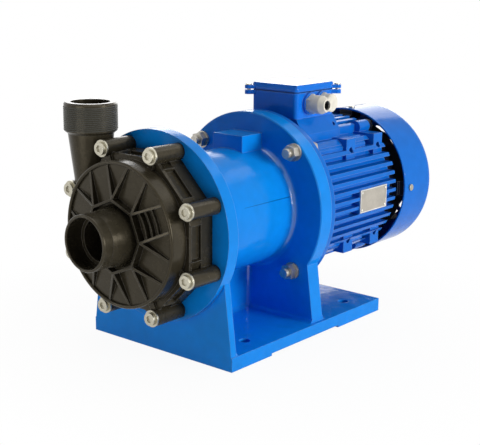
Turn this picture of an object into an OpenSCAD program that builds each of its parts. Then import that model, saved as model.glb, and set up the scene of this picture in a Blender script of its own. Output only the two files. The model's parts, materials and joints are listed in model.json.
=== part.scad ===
// Magnetic drive pump: plastic pump head, cast bracket with foot, flange motor.
// The axis runs along Y, with the suction mouth towards -Y.
// The origin is the centre of the four foot holes, on the foot's underside.
// Stations along the axis are counted from the foot's front edge.

/* [Bracket] */
// Height of the pump axis above the foot's underside
axis_height = 163.5; // [155:0.5:180]
// Width of the foot
foot_width = 240; // [225:1:270]
// Length of the foot along the axis
foot_length = 323; // [310:1:360]
// Thickness of the foot plate
foot_thickness = 18; // [14:0.5:24]
// Depth of the relief under the middle of the foot
foot_relief = 3; // [1:0.5:5]
// Length of the foot's front pad
front_pad_length = 78; // [72:1:100]
// Length of the foot's rear pad
rear_pad_length = 100; // [60:1:120]
// Foot hole spacing across
foot_hole_across = 180; // [150:1:200]
// Foot hole spacing along the axis
foot_hole_along = 217; // [200:1:235]
// Distance from the front edge to the first foot holes
foot_hole_front = 60; // [40:1:62]
// Diameter of the foot holes
foot_hole_d = 14; // [11:0.5:18]
// Diameter of the front disc that carries the pump head
front_disc_d = 241; // [236:1:250]
// Thickness of the front disc
front_disc_t = 17.5; // [14:0.5:22]
// How far the disc stands in front of the front plate
disc_proud = 7.5; // [4:0.5:10]
// Half width of the front plate where it meets the disc
front_leg_half = 107; // [100:1:112]
// Outside diameter of the lantern
lantern_d = 162; // [156:1:176]
// Wall of the lantern
lantern_wall = 9; // [6:0.5:12]
// Length of the lantern between the discs
lantern_length = 160; // [150:1:180]
// Diameter of the rear flange
flange_d = 250; // [246:1:262]
// Thickness of the rear flange and its legs
flange_t = 23; // [18:0.5:28]
// Half width of the rear leg under the flange
rear_leg_half = 104; // [96:1:110]
// Thickness of the web under the lantern
web_t = 10; // [8:0.5:16]
// Width of the raised pad on top of the lantern
top_pad_width = 50; // [40:1:60]
// Length of the raised pad along the axis
top_pad_length = 41; // [30:1:60]
// Height of the raised pad's top above the axis
top_pad_rise = 99; // [95:0.5:106]

/* [Pump casing] */
// Bolt circle of the pump head
casing_bolt_circle = 213; // [210:0.5:216]
// Number of casing bolts
casing_bolt_count = 8; // [8:1:8]
// Diameter of the casing bolts
casing_bolt_d = 10; // [8:0.5:11]
// Diameter of the bolt bosses
boss_d = 21; // [20:0.5:23]
// Length of the bolt bosses
boss_length = 46.5; // [42:0.5:50]
// Depth from the bracket to the rim of the ribbed face
casing_depth = 60; // [58:0.5:66]
// Diameter of the ribbed face
face_d = 178; // [174:1:184]
// How far the ribbed face rises from rim to neck
face_rise = 3; // [2:0.5:5]
// Length of the suction neck
neck_length = 53.5; // [48:0.5:60]
// Outside diameter of the suction mouth
mouth_d = 69; // [67:0.5:72]
// Outside diameter of the neck at the ribbed face
neck_root_d = 73; // [71:0.5:78]
// Bore of the suction socket
socket_d = 61; // [57:0.5:61]
// Depth of the suction socket
socket_depth = 24; // [18:1:28]
// Bore of the suction passage
suction_d = 52; // [48:0.5:53]
// Distance across the flats of the eight-sided clamp ring
clamp_flats = 190; // [188:1:193]
// Thickness of the clamp ring
clamp_t = 20; // [18:0.5:23]
// Offset of the discharge pipe from the axis
outlet_offset = 80; // [78:0.5:82]
// Height of the discharge mouth above the axis
outlet_rise = 150; // [140:1:165]
// Outside diameter of the discharge thread
outlet_thread_d = 65.7; // [63:0.1:68]
// Length of the discharge thread
outlet_thread_length = 35; // [28:1:40]
// Bore of the discharge mouth
outlet_bore_d = 49; // [45:0.5:51]
// Bore of the discharge throat
throat_d = 28; // [25:0.5:30]
// Wall of the discharge pipe
pipe_wall = 4.5; // [4:0.5:6]
// Thickness of the face ribs
rib_t = 3; // [2:0.25:4]
// Height of the face ribs at the neck
rib_height = 12; // [9:0.5:14]

/* [Impeller and can] */
// Diameter of the impeller
impeller_d = 132; // [124:1:136]
// Number of impeller vanes
vane_count = 6; // [5:1:7]
// Diameter of the volute chamber
chamber_d = 152; // [146:1:154]
// Wall of the casing behind the ribbed face
face_wall = 11.5; // [10:0.5:13]
// Wall of the can
can_wall = 4; // [3:0.25:5]
// Length of the can behind the pump head
can_length = 119.5; // [115:0.5:122]
// Thickness of the can's flange
can_flange_t = 9; // [8:0.5:11]
// Diameter of the can's flange
can_flange_d = 182; // [180:0.5:184]
// Diameter of the pump shaft
pump_shaft_d = 20; // [16:0.5:22]
// Outside diameter of the guide bush
bush_d = 32; // [30:0.5:36]
// Running gap of the impeller magnet in the can
inner_magnet_gap = 1.5; // [1:0.1:2.5]

/* [Drive] */
// Running gap between the can and the drive magnets
drive_gap = 1.5; // [1:0.1:2]
// Thickness of the drive magnets
magnet_t = 6; // [5:0.5:7]
// Length of the drive magnets
magnet_length = 80; // [70:1:84]
// Number of drive magnets
magnet_count = 12; // [8:2:16]
// Wall of the drive cup
cup_wall = 6.5; // [5:0.5:7]
// Room between the drive cup and the lantern
cup_room = 7; // [5:0.5:9]
// Diameter of the drive hub
drive_hub_d = 52; // [48:1:56]
// Diameter of the motor shaft's end
shaft_end_d = 28; // [24:0.5:29]
// Length of the motor shaft's end
shaft_end_length = 60; // [56:1:62]

/* [Motor] */
// Bolt circle of the motor flange
motor_bolt_circle = 225; // [220:0.5:226]
// Diameter of the motor bolts
motor_bolt_d = 12; // [10:0.5:13]
// Thickness of the motor flange's rim
shield_rim_t = 8; // [6:0.5:12]
// Diameter of the motor's spigot
spigot_d = 180; // [176:0.5:184]
// Depth of the motor's spigot
spigot_depth = 5; // [3:0.5:6]
// Length of the finned frame
frame_length = 190; // [185:1:205]
// Diameter over the fins
fin_d = 200; // [196:1:202]
// Wall of the frame's barrel around the stator
barrel_wall = 8; // [7:0.5:10]
// Diameter of the stator core
stator_d = 160; // [156:1:164]
// Length of the stator core
stack_length = 105; // [95:1:110]
// Diameter of the rotor
rotor_d = 99; // [92:1:104]
// Air gap between rotor and stator
air_gap = 0.5; // [0.3:0.1:1]
// Pitch of the cooling fins
fin_pitch = 12.6; // [12:0.2:14]
// Thickness of the cooling fins
fin_t = 5; // [3:0.5:6]
// Outside diameter of the fan cowl
cowl_d = 215.8; // [213:0.2:222]
// Length of the fan cowl
cowl_length = 80; // [76:1:90]
// Sheet thickness of the fan cowl
cowl_t = 2; // [1.2:0.2:2.6]
// Gap between the frame and the cowl's front edge
cowl_gap = 10; // [6:0.5:14]
// Diameter of the fan
fan_d = 180; // [160:1:184]
// Distance of the foot pads' faces from the axis
mount_pad_reach = 76; // [74:0.5:80]
// Height of the foot pads' holes above and below the axis
mount_pad_rise = 65; // [62:0.5:68]

/* [Terminal box] */
// Width of the terminal box across the motor
box_width = 78; // [74:1:84]
// Length of the terminal box along the axis
box_length = 87; // [80:1:92]
// Distance from the motor flange to the terminal box
box_back = 25; // [22:1:30]
// Height of the box's seat above the axis
box_seat_rise = 112; // [108:1:118]
// Height of the box's rim above its seat
box_height = 35; // [32:1:40]
// Wall of the terminal box
box_wall = 3.5; // [2.5:0.25:5]
// Thickness of the lid
lid_t = 9; // [7:0.5:12]
// Diameter of the cable glands' nuts
gland_d = 25; // [23:0.5:27]
// Bore of the cable glands' seals
gland_bore_d = 10; // [8:0.5:12]
// Spacing of the cable glands
gland_spacing = 27; // [26:0.5:32]

/* [Hidden] */
$fn = 96;
over = 1;
slip = 0.05;
loose = 0.25;
front_y = -(foot_hole_front + foot_hole_along / 2);

// Stations of the bracket
disc_front = -disc_proud;
disc_back = disc_front + front_disc_t;
flange_front = disc_back + lantern_length;
flange_back = flange_front + flange_t;
lantern_bore_d = lantern_d - 2 * lantern_wall;
cup_r = lantern_bore_d / 2 - cup_room;
cup_inner_r = cup_r - cup_wall;
magnet_inner_r = cup_inner_r - magnet_t;
can_d = 2 * (magnet_inner_r - drive_gap);
lantern_blend = 3;
flange_chamfer = 1.5;
rear_leg_inset = 4;
spigot_room = 0.5;

// Stations and sizes of the casing
rim_y = disc_front - casing_depth;
hub_y = rim_y - face_rise;
mouth_y = hub_y - neck_length;
boss_front = disc_front - boss_length;
chamber_front = rim_y + face_wall;
can_flange_front = disc_front - can_flange_t;
outlet_y = (chamber_front + can_flange_front) / 2;
cone_top = outlet_rise - outlet_thread_length;
thread_shoulder = 5;
seal_d = 4.6;
seal_r = can_flange_d / 2 - seal_d / 2 - 1.5;
chamber_shift = 5;
mouth_lip = 2;
mouth_round = 2.2;
mouth_bevel = 1;
mouth_band = 14.5;
band_step = 1.2;
clamp_groove = 15;
clamp_groove_depth = 4;
rim_band_t = 4;
rim_band_front = disc_front - clamp_t - clamp_groove - rim_band_t;
boss_relief = 0.2;
boss_web_t = 8;
boss_web_front = boss_front + 4;
boss_lug_w = 34;
boss_lug_r = clamp_flats / 2 + 1.7;
lug_setback = 0.7;
rim_round = 1;
rim_lip = 2;
rim_lip_w = 3;
rib_inner_r = neck_root_d / 2 + 9;
rib_outer_r = face_d / 2 - 2;
rib_spread = 12;
rib_tip = 1.5;
face_collar_out = 1;
face_collar_in = 2.25;
face_collar_rise = rib_height + 0.6;
arc_rows = 3;
arc_pitch = 8;
arc_t = 2;
arc_drop = 1;

// Fasteners of the casing
washer_t = 2.2;
casing_head_h = 4;
casing_thread = 13.5;

// Stations of the shaft support, the impeller and the can
mouth_ring_t = 4.5;
support_t = 8;
support_r = suction_d / 2 + 5;
support_leg_t = 8;
shaft_seat = 6;
mouth_ring_sunk = 6;
mouth_ring_proud = 3;
mouth_ring_front = chamber_front - mouth_ring_sunk;
support_front = mouth_ring_front - support_t;
collar_r = suction_d / 2 + 1;
collar_wall = 4;
collar_gap = 1.5;
mouth_ring_r = collar_r + collar_wall + 0.5;
support_hub_r = bush_d / 2;
support_hub_back = chamber_front + 4;
thrust_t = 4;
thrust_gap = 0.4;
shroud_t = 4;
vane_t = 4;
vane_bend = 0.39;
impeller_front = chamber_front + 6;
impeller_back = can_flange_front - 4.5;
bush_front = support_hub_back + thrust_t + thrust_gap;
can_end = disc_front + can_length;
can_end_t = 5;
can_boss = 4;
rear_ring_front = can_end - can_end_t - can_boss - thrust_t;
bush_back = rear_ring_front - thrust_gap;
capsule_front = disc_back - 2;
capsule_back = bush_back - 2;
capsule_round = 3;
inner_magnet_r = can_d / 2 - can_wall - inner_magnet_gap;
impeller_hub_r = bush_d / 2 + 5;
impeller_sleeve_r = bush_d / 2 + 14;

// Stations of the drive
cup_front = disc_back - 2;
magnet_front = cup_front + 4;
cup_floor = can_end + 6;
cup_floor_t = 12;
shaft_end = flange_back - shaft_end_length;
hub_back = flange_back - 6;
clamp_head_r = 9;
clamp_head_h = 6.5;
clamp_screw_r = 5;
clamp_room = 0.5;
key_width = 8;
key_height = 7;
key_sunk = 4;
key_front = shaft_end + 6;
key_length = 40;
set_screw_r = 4;
set_screw_y = hub_back - 10;

// Stations and sizes of the motor
barrel_d = stator_d + 2 * barrel_wall;
shield_back = flange_back + shield_rim_t;
frame_back = shield_back + frame_length;
bearing_bore = 30;
bearing_d = 62;
bearing_w = 16;
race_t = 5;
race_gap = 0.3;
race_shield_t = 1;
bearing_wall = 8;
bearing_boss_r = bearing_d / 2 + bearing_wall;
shield_dish_wall = 16;
shield_dish_r = bearing_boss_r + shield_dish_wall;
front_bearing_y = shield_back + 2;
rear_bearing_sunk = 9;
rear_bearing_y = frame_back - rear_bearing_sunk;
spring_t = 1.5;
rear_shield_t = 12;
rear_shield_back = frame_back + rear_shield_t;
rear_ear_back = frame_back + 6;
register_t = 5;
register_wall = 8;
seal_t = 6;
seal_y = flange_back + 1;
stack_station = 34;
stack_front = shield_back + stack_station;
stack_back = stack_front + stack_length;
end_turn_front = 17;
end_turn_back = 22;
end_turn_round = 6;
end_turn_outer_r = stator_d / 2 - 6;
stator_bore_r = rotor_d / 2 + air_gap;
end_turn_inner_r = stator_bore_r + 3;
cage_ring_t = 8;
cage_ring_h = 19.5;
core_shaft_d = 36;
fan_shaft_d = 24;
cowl_front = frame_back + cowl_gap;
cowl_back = cowl_front + cowl_length;
cowl_round = 14;
fan_front = cowl_front + 27;
fan_length = 22;
fan_clip_t = 2;
fan_clip_h = 4;
fan_hub_r = fan_shaft_d / 2 + 9;
fan_disc_t = 2.5;
fan_blade_t = 3;
fan_blade_over = 2;
fan_shaft_end = fan_front + fan_length + 6;
lug_back = cowl_front + 24;
lug_angle = 12;
cowl_screw_y = cowl_front + 15;
cowl_screw_r = 2.5;
cowl_screw_bite = 8;
cowl_head_h = 2.4;
shield_screw_r = 4;
shield_head_r = 5.5;
shield_head_h = 3.8;
shield_head_seat = flange_back + shield_head_h + 0.2;
shield_ear_out = 8;
shield_screw_circle_r = barrel_d / 2 + shield_ear_out;
shield_screw_angle = 65;
shield_screw_bite = 14;
shield_boss_r = 9.5;
shield_boss_length = 26;
boss_recess = 0.5;
fin_inset = 2;
level_fins = 6;
upright_fins = 3;
mount_pad_end = 18;
mount_pad_pitch = 68;
mount_pad_first = frame_length - mount_pad_end - mount_pad_pitch;
mount_pad_depth = 16;
mount_pad_height = 33;
mount_pad_width = 22;
mount_pad_hole_d = 8;
rail_first = 20;
rail_end = 41;
rail_reach = 70;
rail_low = 52;
rail_slope = 10;
rail_top = rail_reach + rail_slope;
earth_hole_r = 2.5;
earth_hole_station = 103;
earth_hole_rise = 99.5;
lug_root = 6;
lug_overlap = 3;
lug_inner_r = fan_d / 2 + 3;
fan_blades = 9;
grille_rows = 5;
grille_inner_r = 22;
grille_pitch = 11.5;
grille_bar = 5;
grille_sectors = 8;
grille_bridge = 6;
seal_wall = 7;
seal_lip = 4;
clamp_screw_bite = 22;
motor_washer_t = 2.5;
motor_head_h = 8;
motor_nut_h = 10;
nut_front = flange_front - motor_washer_t - motor_nut_h;
bolt_end = 7;

// Stations and sizes of the terminal box
box_y = shield_back + box_back + box_length / 2;
gasket_t = 1.5;
lid_bottom = box_seat_rise + box_height + gasket_t;
lid_over = 0.5;
lid_taper = 2.5;
lid_edge = 2;
lid_ear_t = 5;
ear_r = 5.5;
ear_depth = 6;
ear_out = 3;
ear_link = 3.5;
box_round = 6;
saddle_inset = 0.5;
saddle_flare = 12.5;
saddle_low = box_seat_rise - 20;
lead_hole_d = 26;
lid_screw_r = 2.5;
lid_screw_bite = 5;
lid_screw_length = lid_screw_bite - over + gasket_t + lid_ear_t;
lid_head_h = 2;
gland_rise = box_seat_rise + box_height / 2 + 2;
gland_shift = -2;
gland_thread_d = 16;
gland_core_d = 20;
gland_seal_d = 13;
gland_boss_r = 15;
gland_boss_t = 4;
gland_hex = 5;
gland_body_length = 13;
gland_nut_length = 22;
gland_cap_length = 12;
gland_cap_edge = 1.5;
gland_dome = 8;
gland_seal_sunk = 2;
gland_x = box_width / 2 + gland_boss_t;
block_width = 56;
block_length = 44;
block_t = 8;
block_hole_d = 20;
stud_pitch = 18;
stud_d = 5;
stud_height = 13;
stud_edge = 6;
stud_nut_h = 4;
plate_length = 66;
plate_height = 32.5;
plate_t = 1;
rivet_edge = 4;
rivet_r = 1.6;
rivet_h = 0.8;
plate_station = 128;
plate_drop = 4;
plate_y = shield_back + plate_station;
plate_low = axis_height - plate_drop - plate_height / 2;

// Places its children with local Z along the axis, at a station
module on_axis(station)
    translate([0, front_y + station, axis_height]) rotate([-90, 0, 0]) children();

// Solid of revolution between two stations
module ring(outer_r, inner_r, from, to)
    on_axis(from) rotate_extrude() translate([inner_r, 0]) square([outer_r - inner_r, to - from]);

module disc(radius, from, to)
    on_axis(from) cylinder(r = radius, h = to - from);

// Revolves an outline of radii and stations about the axis
module turned(outline)
    on_axis(0) rotate_extrude() polygon(outline);

module around(count, first = 0)
    for (i = [0 : count - 1]) rotate([0, 0, first + i * 360 / count]) children();

// Copies of a rod parallel to the axis on a bolt circle
module rods(count, first, circle_r, radius, from, to, sides = 0)
    on_axis(from) around(count, first) translate([circle_r, 0, 0])
        cylinder(r = radius, h = to - from, $fn = sides > 0 ? sides : $fn);

// Block above the axis: centred on x, from and to are stations
module block(width, from, to, low, high)
    translate([-width / 2, front_y + from, axis_height + low]) cube([width, to - from, high - low]);

module rounded(width, length, radius) {
    square([width - 2 * radius, length], center = true);
    square([width, length - 2 * radius], center = true);
    for (x = [-1, 1], y = [-1, 1])
        translate([x * (width / 2 - radius), y * (length / 2 - radius)]) circle(r = radius);
}

// Octagon with its corners towards the bolt bosses
module octagon(flats, from, to)
    on_axis(from) rotate([0, 0, 22.5]) cylinder(r = flats / 2 / cos(22.5), h = to - from, $fn = 8);

module on_outlet(rise)
    translate([-outlet_offset, front_y + outlet_y, axis_height + rise]) children();

// Pump head
module casing_hull() {
    turned(concat([[0, disc_front - clamp_t], [face_d / 2 + 1, disc_front - clamp_t],
        [face_d / 2, rim_y - rim_lip + rim_round], [face_d / 2 - rim_round, rim_y - rim_lip],
        [face_d / 2 - rim_lip_w, rim_y - rim_lip], [face_d / 2 - rim_lip_w, rim_y],
        [neck_root_d / 2 + mouth_lip, hub_y], [neck_root_d / 2, hub_y - mouth_lip],
        [mouth_d / 2 - band_step, mouth_y + mouth_band + band_step], [mouth_d / 2, mouth_y + mouth_band]],
        [for (a = [0 : 22.5 : 90]) [mouth_d / 2 - mouth_round * (1 - cos(a)),
            mouth_y + mouth_round * (1 - sin(a))]], [[0, mouth_y]]));
    octagon(clamp_flats, disc_front - clamp_t, disc_front);
    octagon(clamp_flats - 2 * clamp_groove_depth, rim_band_front + over, disc_front - clamp_t + over);
    octagon(clamp_flats - 2, rim_band_front, rim_band_front + rim_band_t);
    casing_bosses();
    discharge_pipe();
    face_ribs();
}

module casing_bosses() {
    rods(casing_bolt_count, 22.5, casing_bolt_circle / 2, boss_d / 2, boss_front - boss_relief,
        disc_front - boss_relief);
    on_axis(boss_web_front) around(casing_bolt_count, 22.5)
        translate([can_flange_d / 2 - boss_web_t, -boss_web_t / 2, 0])
            cube([casing_bolt_circle / 2 - casing_bolt_d / 2 - over - can_flange_d / 2 + boss_web_t,
                boss_web_t, rim_band_front - boss_web_front + over]);
    on_axis(rim_band_front + lug_setback) around(casing_bolt_count, 22.5)
        translate([face_d / 2 - boss_web_t, -boss_lug_w / 2, 0])
            cube([boss_lug_r - face_d / 2 + boss_web_t, boss_lug_w,
                disc_front - clamp_t + over - rim_band_front - lug_setback]);
}

module discharge_pipe() {
    on_outlet(0) sphere(d = throat_d + 2 * pipe_wall);
    on_outlet(0) cylinder(d = throat_d + 2 * pipe_wall, h = throat_d + over);
    on_outlet(throat_d) cylinder(d1 = throat_d + 2 * pipe_wall, d2 = outlet_bore_d + 2 * pipe_wall,
        h = cone_top - throat_d);
    on_outlet(cone_top - thread_shoulder)
        cylinder(d1 = outlet_bore_d + pipe_wall, d2 = outlet_thread_d, h = thread_shoulder);
    on_outlet(cone_top) cylinder(d = outlet_thread_d, h = outlet_thread_length - mouth_lip);
    on_outlet(outlet_rise - mouth_lip)
        cylinder(d1 = outlet_thread_d, d2 = outlet_thread_d - 2 * mouth_lip, h = mouth_lip);
}

// Eight-sided collar around the neck, pairs of ribs that open like a V from its corners towards the rim,
// and arcs in two of the cells between them
module face_ribs() {
    reach = rib_outer_r * [cos(rib_spread), sin(rib_spread)] - [rib_inner_r, 0];
    angle = atan2(reach[1], reach[0]);
    for (side = [-1, 1])
        on_axis(rim_y) around(casing_bolt_count) translate([rib_inner_r, 0, 0]) rotate([0, 0, side * angle])
            rotate([90, 0, 0]) translate([0, 0, -rib_t / 2]) linear_extrude(rib_t)
                polygon([[-rib_t / 2, over], [norm(reach), over], [norm(reach), -rib_tip],
                    [-rib_t / 2, -rib_height]]);
    on_axis(rim_y - face_collar_rise) linear_extrude(face_collar_rise + over) difference() {
        circle(r = rib_inner_r + face_collar_out, $fn = 8);
        circle(r = rib_inner_r - face_collar_in, $fn = 8);
    }
    for (row = [1 : arc_rows]) {
        radius = rib_inner_r + row * arc_pitch;
        spread = rib_spread * (1 - rib_inner_r / radius) / (1 - rib_inner_r / rib_outer_r);
        part = (radius - rib_inner_r) / (rib_outer_r - rib_inner_r);
        top = rib_height - (rib_height - rib_tip) * part - arc_drop;
        on_axis(rim_y - top) around(2, spread - 45) rotate_extrude(angle = 45 - 2 * spread)
            translate([radius, 0]) square([arc_t, top + over]);
    }
}

module casing_hollow() {
    disc(can_flange_d / 2 + loose, can_flange_front, disc_front + over);
    translate([-chamber_shift * cos(45), 0, -chamber_shift * sin(45)])
        disc(chamber_d / 2, chamber_front, can_flange_front + over);
    ring(seal_r + seal_d / 2, seal_r - seal_d / 2, can_flange_front - seal_d, can_flange_front + over);
    disc(mouth_ring_r + mouth_ring_t, mouth_ring_front, chamber_front + over);
    disc(support_r, support_front, chamber_front);
    disc(suction_d / 2, mouth_y - over, support_front + over);
    disc(socket_d / 2, mouth_y - over, mouth_y + socket_depth);
    on_axis(mouth_y - over) cylinder(r1 = socket_d / 2 + mouth_bevel + over, r2 = socket_d / 2 - over,
        h = mouth_bevel + 2 * over);
    rods(casing_bolt_count, 22.5, casing_bolt_circle / 2, casing_bolt_d / 2 + loose,
        boss_front - over, disc_front + over);
    rods(casing_bolt_count, 22.5, casing_bolt_circle / 2, boss_d / 2 + over,
        boss_front - washer_t - casing_head_h - over, boss_front);
    on_outlet(0) cylinder(d = throat_d, h = throat_d + over);
    on_outlet(0) sphere(d = throat_d);
    on_outlet(throat_d) cylinder(d1 = throat_d, d2 = outlet_bore_d, h = cone_top - throat_d);
    on_outlet(cone_top - over / 4) cylinder(d = outlet_bore_d, h = outlet_thread_length + over);
}

module front_casing()
    color("#2d2a24") difference() {
        casing_hull();
        casing_hollow();
    }

module rear_casing()
    color("#34312b") union() {
        ring(can_flange_d / 2, can_d / 2 - can_wall, can_flange_front, disc_front);
        ring(can_d / 2, can_d / 2 - can_wall, disc_front, can_end);
        disc(can_d / 2 - can_wall / 2, can_end - can_end_t, can_end);
        ring(bush_d / 2, pump_shaft_d / 2, can_end - can_end_t - can_boss, can_end - can_end_t);
    }

module casing_seal()
    color("#1b1b1b") on_axis(can_flange_front - seal_d / 2)
        rotate_extrude() translate([seal_r, 0]) circle(d = seal_d);

// Ring with three legs and a hub that holds the front end of the pump shaft
module shaft_support()
    color("#3a372f") difference() {
        union() {
            ring(support_r, suction_d / 2, support_front, mouth_ring_front);
            disc(support_hub_r, support_front, support_hub_back);
            on_axis(support_front) sphere(r = support_hub_r);
            on_axis(support_front) around(3, 90)
                translate([support_hub_r - over, -support_leg_t / 2, 0])
                    cube([suction_d / 2 - support_hub_r + 2 * over, support_leg_t, support_t]);
        }
        disc(pump_shaft_d / 2, support_front + shaft_seat, support_hub_back + over);
    }

module pump_shaft()
    color("#e8e2d2") disc(pump_shaft_d / 2, support_front + shaft_seat, can_end - can_end_t);

module front_thrust_ring()
    color("#d8d3c6") ring(bush_d / 2, pump_shaft_d / 2, support_hub_back, support_hub_back + thrust_t);

module rear_thrust_ring()
    color("#d8d3c6") ring(bush_d / 2, pump_shaft_d / 2, rear_ring_front, rear_ring_front + thrust_t);

// Backward-curved vanes: each is an arc that leaves the hub and ends inside the rim
module vanes() {
    arc_r = impeller_d * vane_bend;
    shift = arc_r - impeller_hub_r + vane_t / 2;
    end_r = impeller_d / 2 - vane_t;
    sweep = acos((arc_r * arc_r + shift * shift - end_r * end_r) / (2 * arc_r * shift));
    on_axis(impeller_front + shroud_t / 2) around(vane_count) translate([0, -shift, 0])
        rotate([0, 0, 90 - sweep]) rotate_extrude(angle = sweep) translate([arc_r - vane_t, 0])
            square([vane_t, impeller_back - impeller_front - shroud_t]);
}

module impeller()
    color("#3d3a32") difference() {
        union() {
            ring(impeller_d / 2, collar_r, impeller_front, impeller_front + shroud_t);
            ring(collar_r + collar_wall, collar_r, mouth_ring_front + collar_gap, impeller_front + over);
            disc(impeller_d / 2, impeller_back - shroud_t, impeller_back);
            disc(impeller_hub_r, impeller_front + shroud_t, impeller_back - over);
            disc(impeller_sleeve_r, impeller_back - over, capsule_front);
            vanes();
        }
        disc(bush_d / 2, impeller_front, capsule_front + over);
    }

module inner_magnet()
    color("#2f2d2a") turned([[bush_d / 2, capsule_front], [inner_magnet_r - capsule_round, capsule_front],
        [inner_magnet_r, capsule_front + capsule_round], [inner_magnet_r, capsule_back - capsule_round],
        [inner_magnet_r - capsule_round, capsule_back], [bush_d / 2, capsule_back]]);

module guide_bush()
    color("#4a4a4c") ring(bush_d / 2, pump_shaft_d / 2 + slip, bush_front, bush_back);

module mouth_ring()
    color("#c9c4b6") ring(mouth_ring_r + mouth_ring_t, mouth_ring_r, mouth_ring_front,
        chamber_front + mouth_ring_proud);

// Socket-head bolts through the bosses into the bracket's front disc
module casing_bolts() {
    head_front = boss_front - washer_t - casing_head_h;
    color("#bbb69c") difference() {
        union() {
            rods(casing_bolt_count, 22.5, casing_bolt_circle / 2, casing_bolt_d * 0.8,
                head_front, boss_front - washer_t);
            rods(casing_bolt_count, 22.5, casing_bolt_circle / 2, casing_bolt_d / 2,
                boss_front - washer_t, disc_front + casing_thread);
        }
        rods(casing_bolt_count, 22.5, casing_bolt_circle / 2, casing_bolt_d * 0.46,
            head_front - over, head_front + casing_head_h / 2, 6);
    }
}

module casing_washers()
    color("#cfcbb8") difference() {
        rods(casing_bolt_count, 22.5, casing_bolt_circle / 2, casing_bolt_d * 1.05,
            boss_front - washer_t, boss_front);
        rods(casing_bolt_count, 22.5, casing_bolt_circle / 2, casing_bolt_d / 2,
            boss_front - washer_t - over, boss_front + over);
    }

// Bracket
module foot()
    difference() {
        translate([-foot_width / 2, front_y, 0]) cube([foot_width, foot_length, foot_thickness]);
        translate([-foot_width / 2 - over, front_y + front_pad_length, -over])
            cube([foot_width + 2 * over, foot_length - front_pad_length - rear_pad_length,
                foot_relief + over]);
        for (x = [-1, 1], y = [-1, 1])
            translate([x * foot_hole_across / 2, y * foot_hole_along / 2, -over])
                cylinder(d = foot_hole_d, h = foot_thickness + 2 * over);
    }

// Upright plate from the foot to the round disc above it
module leg(half_foot, half_top, disc_r, from, to) {
    meet = axis_height - sqrt(pow(disc_r - over, 2) - half_top * half_top);
    translate([0, front_y + to, 0]) rotate([90, 0, 0]) linear_extrude(to - from)
        polygon([[-half_foot, foot_thickness / 2], [half_foot, foot_thickness / 2], [half_top, meet],
            [half_top * 0.6, axis_height], [-half_top * 0.6, axis_height], [-half_top, meet]]);
}

module bracket_body() {
    foot();
    disc(front_disc_d / 2, disc_front, disc_back);
    leg(foot_width / 2, front_leg_half, front_disc_d / 2, 0, disc_back);
    turned([[0, disc_back - over], [lantern_d / 2 + lantern_blend, disc_back - over],
        [lantern_d / 2 + lantern_blend, disc_back], [lantern_d / 2, disc_back + lantern_blend],
        [lantern_d / 2, flange_front - lantern_blend], [lantern_d / 2 + lantern_blend, flange_front],
        [lantern_d / 2 + lantern_blend, flange_front + over], [0, flange_front + over]]);
    turned([[0, flange_front], [flange_d / 2 - flange_chamfer, flange_front],
        [flange_d / 2, flange_front + flange_chamfer], [flange_d / 2, flange_back], [0, flange_back]]);
    leg(foot_width / 2 - rear_leg_inset, rear_leg_half, flange_d / 2, flange_front, flange_back);
    translate([-web_t / 2, front_y + disc_back - over, foot_thickness / 2])
        cube([web_t, lantern_length + 2 * over,
            axis_height - lantern_d / 2 + lantern_wall / 2 - foot_thickness / 2]);
    block(top_pad_width, flange_front - top_pad_length, flange_front + over,
        lantern_d / 2 - lantern_wall, top_pad_rise);
}

module bracket()
    color("#1470c8") difference() {
        bracket_body();
        disc(lantern_bore_d / 2, disc_front - over, flange_back + over);
        disc(spigot_d / 2 + slip, flange_back - spigot_depth - spigot_room, flange_back + over);
        rods(casing_bolt_count, 22.5, casing_bolt_circle / 2, casing_bolt_d / 2,
            disc_front - over, disc_front + casing_thread);
        rods(4, 45, motor_bolt_circle / 2, motor_bolt_d / 2 + loose, flange_front - over,
            flange_back + over);
    }

// Drive
module key_block()
    translate([-key_width / 2, front_y + key_front, axis_height + shaft_end_d / 2 - key_sunk])
        cube([key_width, key_length, key_height]);

module drive_hub()
    color("#8b8f94") difference() {
        union() {
            ring(cup_r, cup_inner_r, cup_front, cup_floor + over);
            disc(cup_r, cup_floor, cup_floor + cup_floor_t);
            disc(drive_hub_d / 2, cup_floor, hub_back);
        }
        disc(shaft_end_d / 2, shaft_end, hub_back + over);
        disc(clamp_screw_r + clamp_room, cup_floor - over, shaft_end + over);
        disc(clamp_head_r + clamp_room, cup_floor - over, cup_floor + clamp_head_h + clamp_room);
        key_block();
        on_axis(set_screw_y) rotate([90, 0, 90]) cylinder(r = set_screw_r, h = drive_hub_d);
    }

module drive_magnets()
    color("#6b6f73") on_axis(magnet_front) around(magnet_count)
        rotate_extrude(angle = 360 / magnet_count - 2) translate([magnet_inner_r, 0])
            square([magnet_t, magnet_length]);

module hub_clamp_screw()
    color("#9a9a95") union() {
        disc(clamp_head_r, cup_floor + clamp_room, cup_floor + clamp_head_h + clamp_room);
        disc(clamp_screw_r, cup_floor + clamp_head_h, shaft_end + clamp_screw_bite - 2 * over);
    }

module hub_key()
    color("#7c7c78") key_block();

module hub_set_screw()
    color("#3a3a3a") on_axis(set_screw_y) rotate([90, 0, 90]) translate([0, 0, shaft_end_d / 2])
        cylinder(r = set_screw_r, h = drive_hub_d / 2 - shaft_end_d / 2 - over);

module flange_bolts()
    color("#9c998c") union() {
        rods(4, 45, motor_bolt_circle / 2, motor_bolt_d * 0.9, shield_back, shield_back + motor_head_h, 6);
        rods(4, 45, motor_bolt_circle / 2, motor_bolt_d / 2, nut_front - bolt_end, shield_back);
    }

module flange_washers()
    color("#b8b5a8") difference() {
        rods(4, 45, motor_bolt_circle / 2, motor_bolt_d * 0.97, flange_front - motor_washer_t, flange_front);
        rods(4, 45, motor_bolt_circle / 2, motor_bolt_d / 2, flange_front - motor_washer_t - over,
            flange_front + over);
    }

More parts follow.
